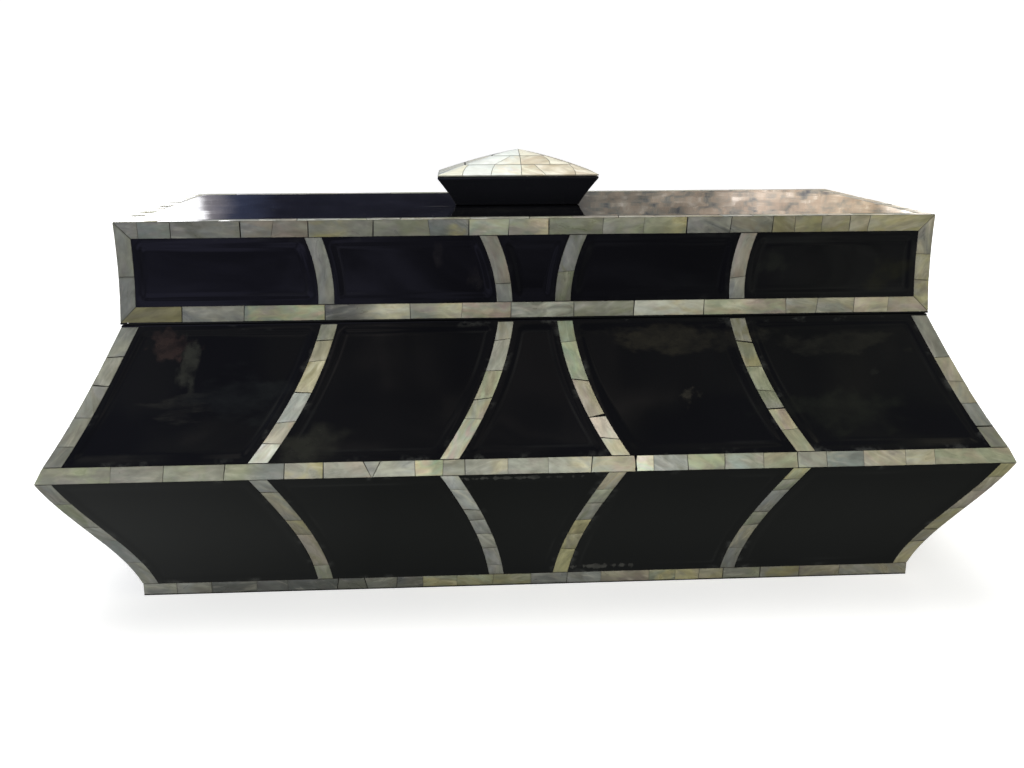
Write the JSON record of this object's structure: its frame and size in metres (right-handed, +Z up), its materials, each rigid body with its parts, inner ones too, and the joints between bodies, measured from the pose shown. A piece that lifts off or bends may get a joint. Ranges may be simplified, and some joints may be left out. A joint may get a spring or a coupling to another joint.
{
  "type": "lidded lacquer box",
  "caption": "Long flared black lacquer box with mother-of-pearl bands and curved ribs, a hollow lift-off lid and a pearl-topped knob.",
  "frame": {"origin": "middle of the underside, on the surface the box stands on", "axes": "+X along the length to the viewer's right, the front faces -Y, +Z up"},
  "size_m": [0.45, 0.2162, 0.2119],
  "materials": {
    "body_lacquer": "black high-gloss lacquer on wood",
    "body_shell": "polished mother-of-pearl tiles, grey-green with warm and iridescent patches",
    "lid_lacquer": "black mirror-gloss lacquer on wood",
    "lid_shell": "polished mother-of-pearl tiles, grey-green with warm and iridescent patches",
    "knob_lacquer": "black high-gloss lacquer on wood",
    "knob_shell": "polished pale mother-of-pearl tiles"
  },
  "bodies": {
    "root": {"box_body": "body_lacquer", "body_pearl_bands": "body_shell", "lid": "lid_lacquer", "lid_pearl_bands": "lid_shell", "knob": "knob_lacquer", "knob_pearl_cap": "knob_shell"}
  },
  "joints": []
}
